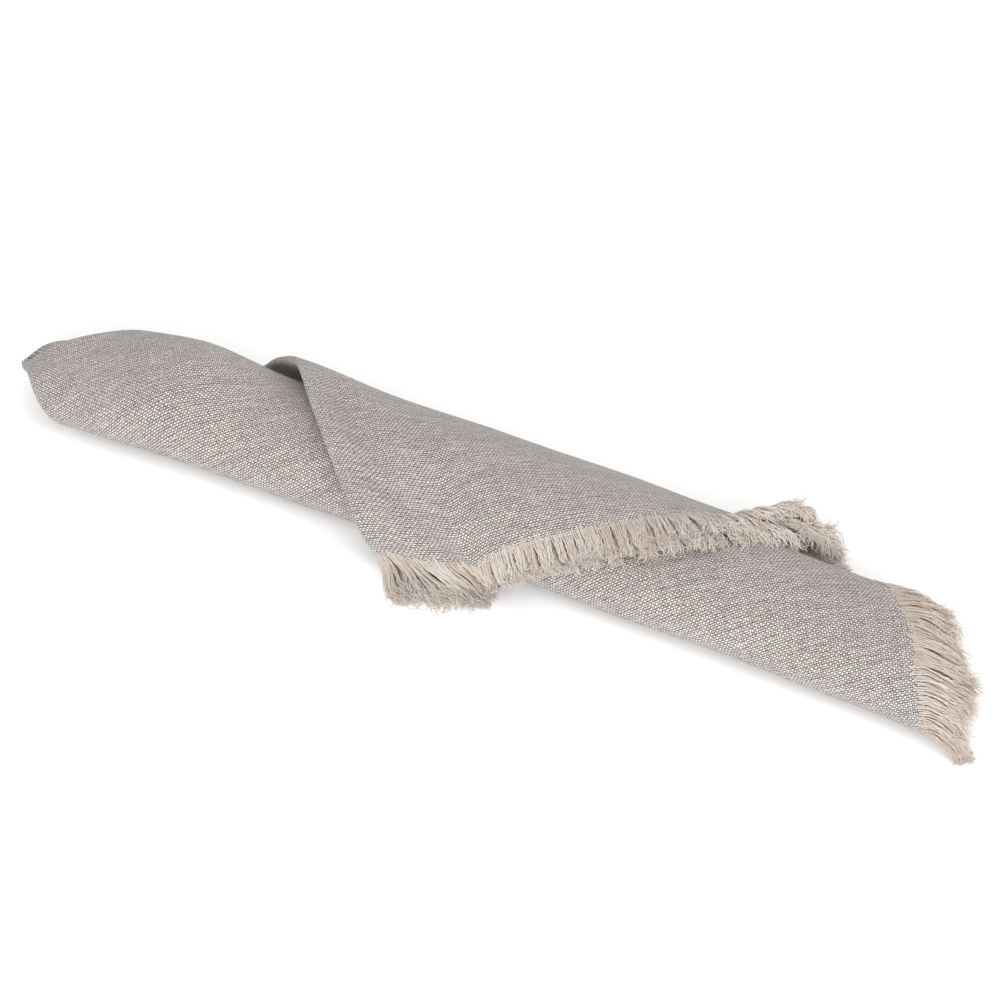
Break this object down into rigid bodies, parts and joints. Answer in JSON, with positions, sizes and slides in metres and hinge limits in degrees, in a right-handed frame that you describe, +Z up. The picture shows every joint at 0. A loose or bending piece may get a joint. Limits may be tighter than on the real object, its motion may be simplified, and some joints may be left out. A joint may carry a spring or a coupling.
{
  "type": "cloth napkin",
  "caption": "Square fringed cloth napkin folded in four and wound slantwise into a low, flat roll with one fringed flap laid across the front.",
  "frame": {"origin": "middle of the underside of the whole napkin's box", "axes": "+X along the roll from the folded corner's tip to the fringed end, +Y from the flap side to the back, +Z up from the surface it rests on"},
  "size_m": [0.3052, 0.0674, 0.0251],
  "materials": {
    "woven_cloth": "matt greige plain weave of slubbed linen-look yarn",
    "loose_threads": "matt cream to pinkish-beige loose cotton threads"
  },
  "bodies": {
    "root": {"folded_cloth": "woven_cloth", "flap_fringe": "loose_threads", "end_fringe": "loose_threads"}
  },
  "joints": []
}
